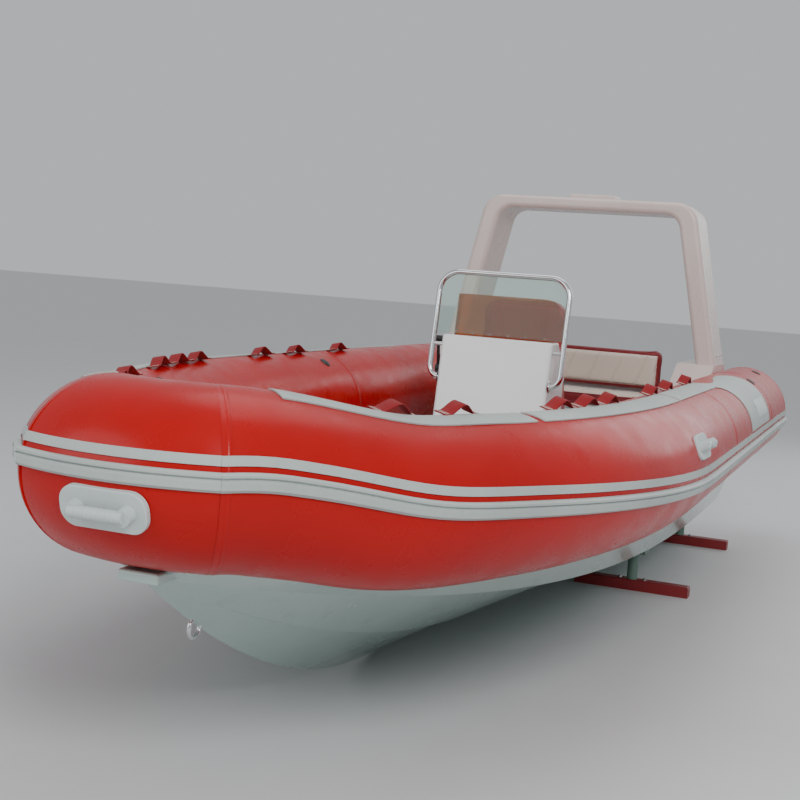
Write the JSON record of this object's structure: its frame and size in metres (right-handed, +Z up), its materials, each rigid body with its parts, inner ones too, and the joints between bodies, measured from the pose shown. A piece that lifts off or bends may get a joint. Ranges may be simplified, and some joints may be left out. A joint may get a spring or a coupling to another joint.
{
  "type": "rigid inflatable boat",
  "caption": "Rigid inflatable boat with a vee hull, inflated collar, console with screens, helm seat, stern bench and roll arch, on floor stands.",
  "frame": {"origin": "on the floor, under the middle of the boat's length and beam", "axes": "+X to the bow, +Y to port, +Z up"},
  "size_m": [5.83, 2.3516, 1.996],
  "materials": {
    "collar_red": "coated fabric, satin",
    "rail_grey": "moulded rubber, satin",
    "hull_white": "gelcoat, gloss",
    "gelcoat_white": "gelcoat, gloss",
    "deck_grey": "moulded non-slip",
    "arch_cream": "gelcoat, satin",
    "stainless": "polished stainless steel",
    "amber_acrylic": "tinted acrylic",
    "clear_acrylic": "clear acrylic",
    "seat_red": "marine vinyl",
    "bench_cream": "quilted marine vinyl",
    "black_plastic": "moulded, satin",
    "webbing_red": "woven webbing",
    "handle_grey": "moulded rubber",
    "stand_red": "painted steel",
    "stand_grey": "painted steel"
  },
  "bodies": {
    "boat": {"accent_band_bow": "rail_grey", "accent_band_port": "rail_grey", "accent_band_starboard": "rail_grey", "arch": "arch_cream", "arch_light": "arch_cream", "bench_backrest": "bench_cream", "bench_base": "gelcoat_white", "bow_eye": "stainless", "bow_locker": "gelcoat_white", "carry_handle_bow": "handle_grey", "carry_handle_port": "handle_grey", "carry_handle_starboard": "handle_grey", "coaming_port": "arch_cream", "coaming_starboard": "arch_cream", "console": "gelcoat_white", "dash_panel": "black_plastic", "deck": "deck_grey", "hand_loops_port": "webbing_red", "hand_loops_starboard": "webbing_red", "helm_backrest": "seat_red", "helm_seat_base": "seat_red", "helm_seat_frame": "stainless", "helm_shaft": "black_plastic", "hinges": "stainless", "hoop_rail": "stainless", "hoop_screen": "clear_acrylic", "hull": "hull_white", "name_plate_port": "handle_grey", "name_plate_starboard": "handle_grey", "rub_rail_bow": "rail_grey", "rub_rail_port": "rail_grey", "rub_rail_starboard": "rail_grey", "stand_feet": "stand_red", "stand_pads": "stand_grey", "stand_posts": "stand_grey", "tail_band_port": "rail_grey", "tail_band_starboard": "rail_grey", "tail_cone_port": "collar_red", "tail_cone_starboard": "collar_red", "throttle_control": "black_plastic", "transom": "hull_white", "tread_strips_port": "rail_grey", "tread_strips_starboard": "rail_grey", "tube_bow": "collar_red", "tube_port": "collar_red", "tube_starboard": "collar_red", "windscreen": "amber_acrylic"},
    "wheel": {"steering_wheel": "black_plastic"},
    "console_door": {"console_door": "gelcoat_white"},
    "helm_lid": {"helm_seat_lid": "gelcoat_white", "helm_seat_cushion": "seat_red"},
    "bench_lid": {"bench_lid": "gelcoat_white", "bench_cushion": "bench_cream"},
    "locker_lid": {"bow_locker_lid": "gelcoat_white"}
  },
  "joints": [
    {"name": "steering", "type": "hinge", "parent": "boat", "child": "wheel", "pos_m": [-0.70513, 0, 1.02], "axis": [-0.9063, 0, 0.4226], "range_deg": [-540, 540]},
    {"name": "console_door_hinge", "type": "hinge", "parent": "boat", "child": "console_door", "pos_m": [-0.63213, 0.141, 0.7285], "axis": [0, 0, -1], "range_deg": [0, 100]},
    {"name": "helm_lid_hinge", "type": "hinge", "parent": "boat", "child": "helm_lid", "pos_m": [-0.91013, -0.13, 0.956], "axis": [0, 1, 0], "range_deg": [0, 80]},
    {"name": "bench_lid_hinge", "type": "hinge", "parent": "boat", "child": "bench_lid", "pos_m": [-1.505, 0, 0.796], "axis": [0, 1, 0], "range_deg": [0, 80]},
    {"name": "bow_locker_hinge", "type": "hinge", "parent": "boat", "child": "locker_lid", "pos_m": [2.145, 0, 0.866], "axis": [0, 1, 0], "range_deg": [0, 60]}
  ]
}
